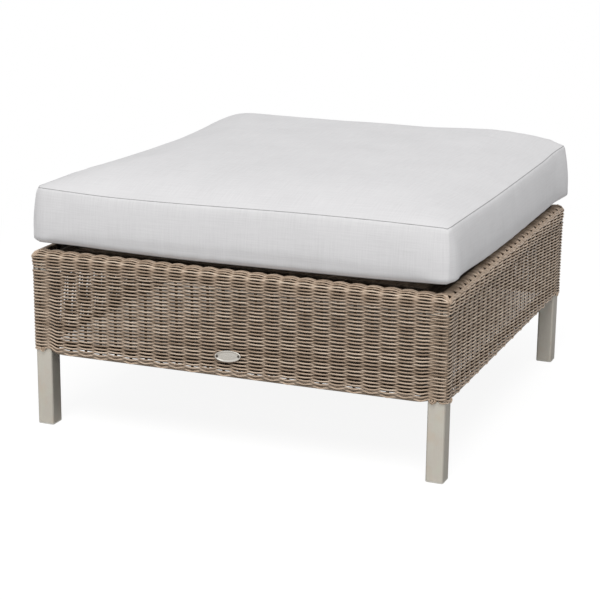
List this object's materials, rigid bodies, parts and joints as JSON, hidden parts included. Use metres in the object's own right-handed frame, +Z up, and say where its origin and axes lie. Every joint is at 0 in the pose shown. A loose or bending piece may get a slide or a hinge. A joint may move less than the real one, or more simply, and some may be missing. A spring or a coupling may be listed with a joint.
{
  "type": "outdoor ottoman footstool",
  "caption": "Square outdoor ottoman: four brushed steel legs, a taupe woven skirt with a rolled scalloped rim, a woven deck, and a loose off-white box cushion that lifts off.",
  "frame": {"origin": "on the floor under the centre of the footstool", "axes": "+X to the right seen from the front, +Y to the back, +Z up"},
  "size_m": [0.816, 0.816, 0.498],
  "materials": {
    "leg_steel": "satin",
    "glide_plastic": "matte",
    "frame_tube": "satin",
    "wicker_strand": "satin",
    "badge_metal": "satin",
    "cushion_cloth": "matte",
    "cushion_filling": "matte"
  },
  "bodies": {
    "frame": {"leg_front_left": "leg_steel", "leg_front_right": "leg_steel", "leg_back_left": "leg_steel", "leg_back_right": "leg_steel", "glide_front_left": "glide_plastic", "glide_front_right": "glide_plastic", "glide_back_left": "glide_plastic", "glide_back_right": "glide_plastic", "top_rail_front": "frame_tube", "top_rail_right": "frame_tube", "top_rail_back": "frame_tube", "top_rail_left": "frame_tube", "lower_rail_front": "frame_tube", "lower_rail_right": "frame_tube", "lower_rail_back": "frame_tube", "lower_rail_left": "frame_tube", "stake_frame_front": "frame_tube", "stake_frame_right": "frame_tube", "stake_frame_back": "frame_tube", "stake_frame_left": "frame_tube", "woven_side_front": "wicker_strand", "woven_side_right": "wicker_strand", "woven_side_back": "wicker_strand", "woven_side_left": "wicker_strand", "woven_rim_front": "wicker_strand", "woven_rim_right": "wicker_strand", "woven_rim_back": "wicker_strand", "woven_rim_left": "wicker_strand", "deck_bar_left": "frame_tube", "deck_bar_middle": "frame_tube", "deck_bar_right": "frame_tube", "woven_deck": "wicker_strand", "badge_plate": "badge_metal", "badge_rivet_left": "badge_metal", "badge_rivet_right": "badge_metal"},
    "cushion": {"cushion_cover_top": "cushion_cloth", "cushion_cover_bottom": "cushion_cloth", "cushion_boxing": "cushion_cloth", "cushion_zip_panel": "cushion_cloth", "cushion_foam": "cushion_filling"}
  },
  "joints": [
    {"name": "cushion_lift", "type": "slide", "parent": "frame", "child": "cushion", "axis": [0, 0, 1], "range_m": [0, 0.25]}
  ]
}
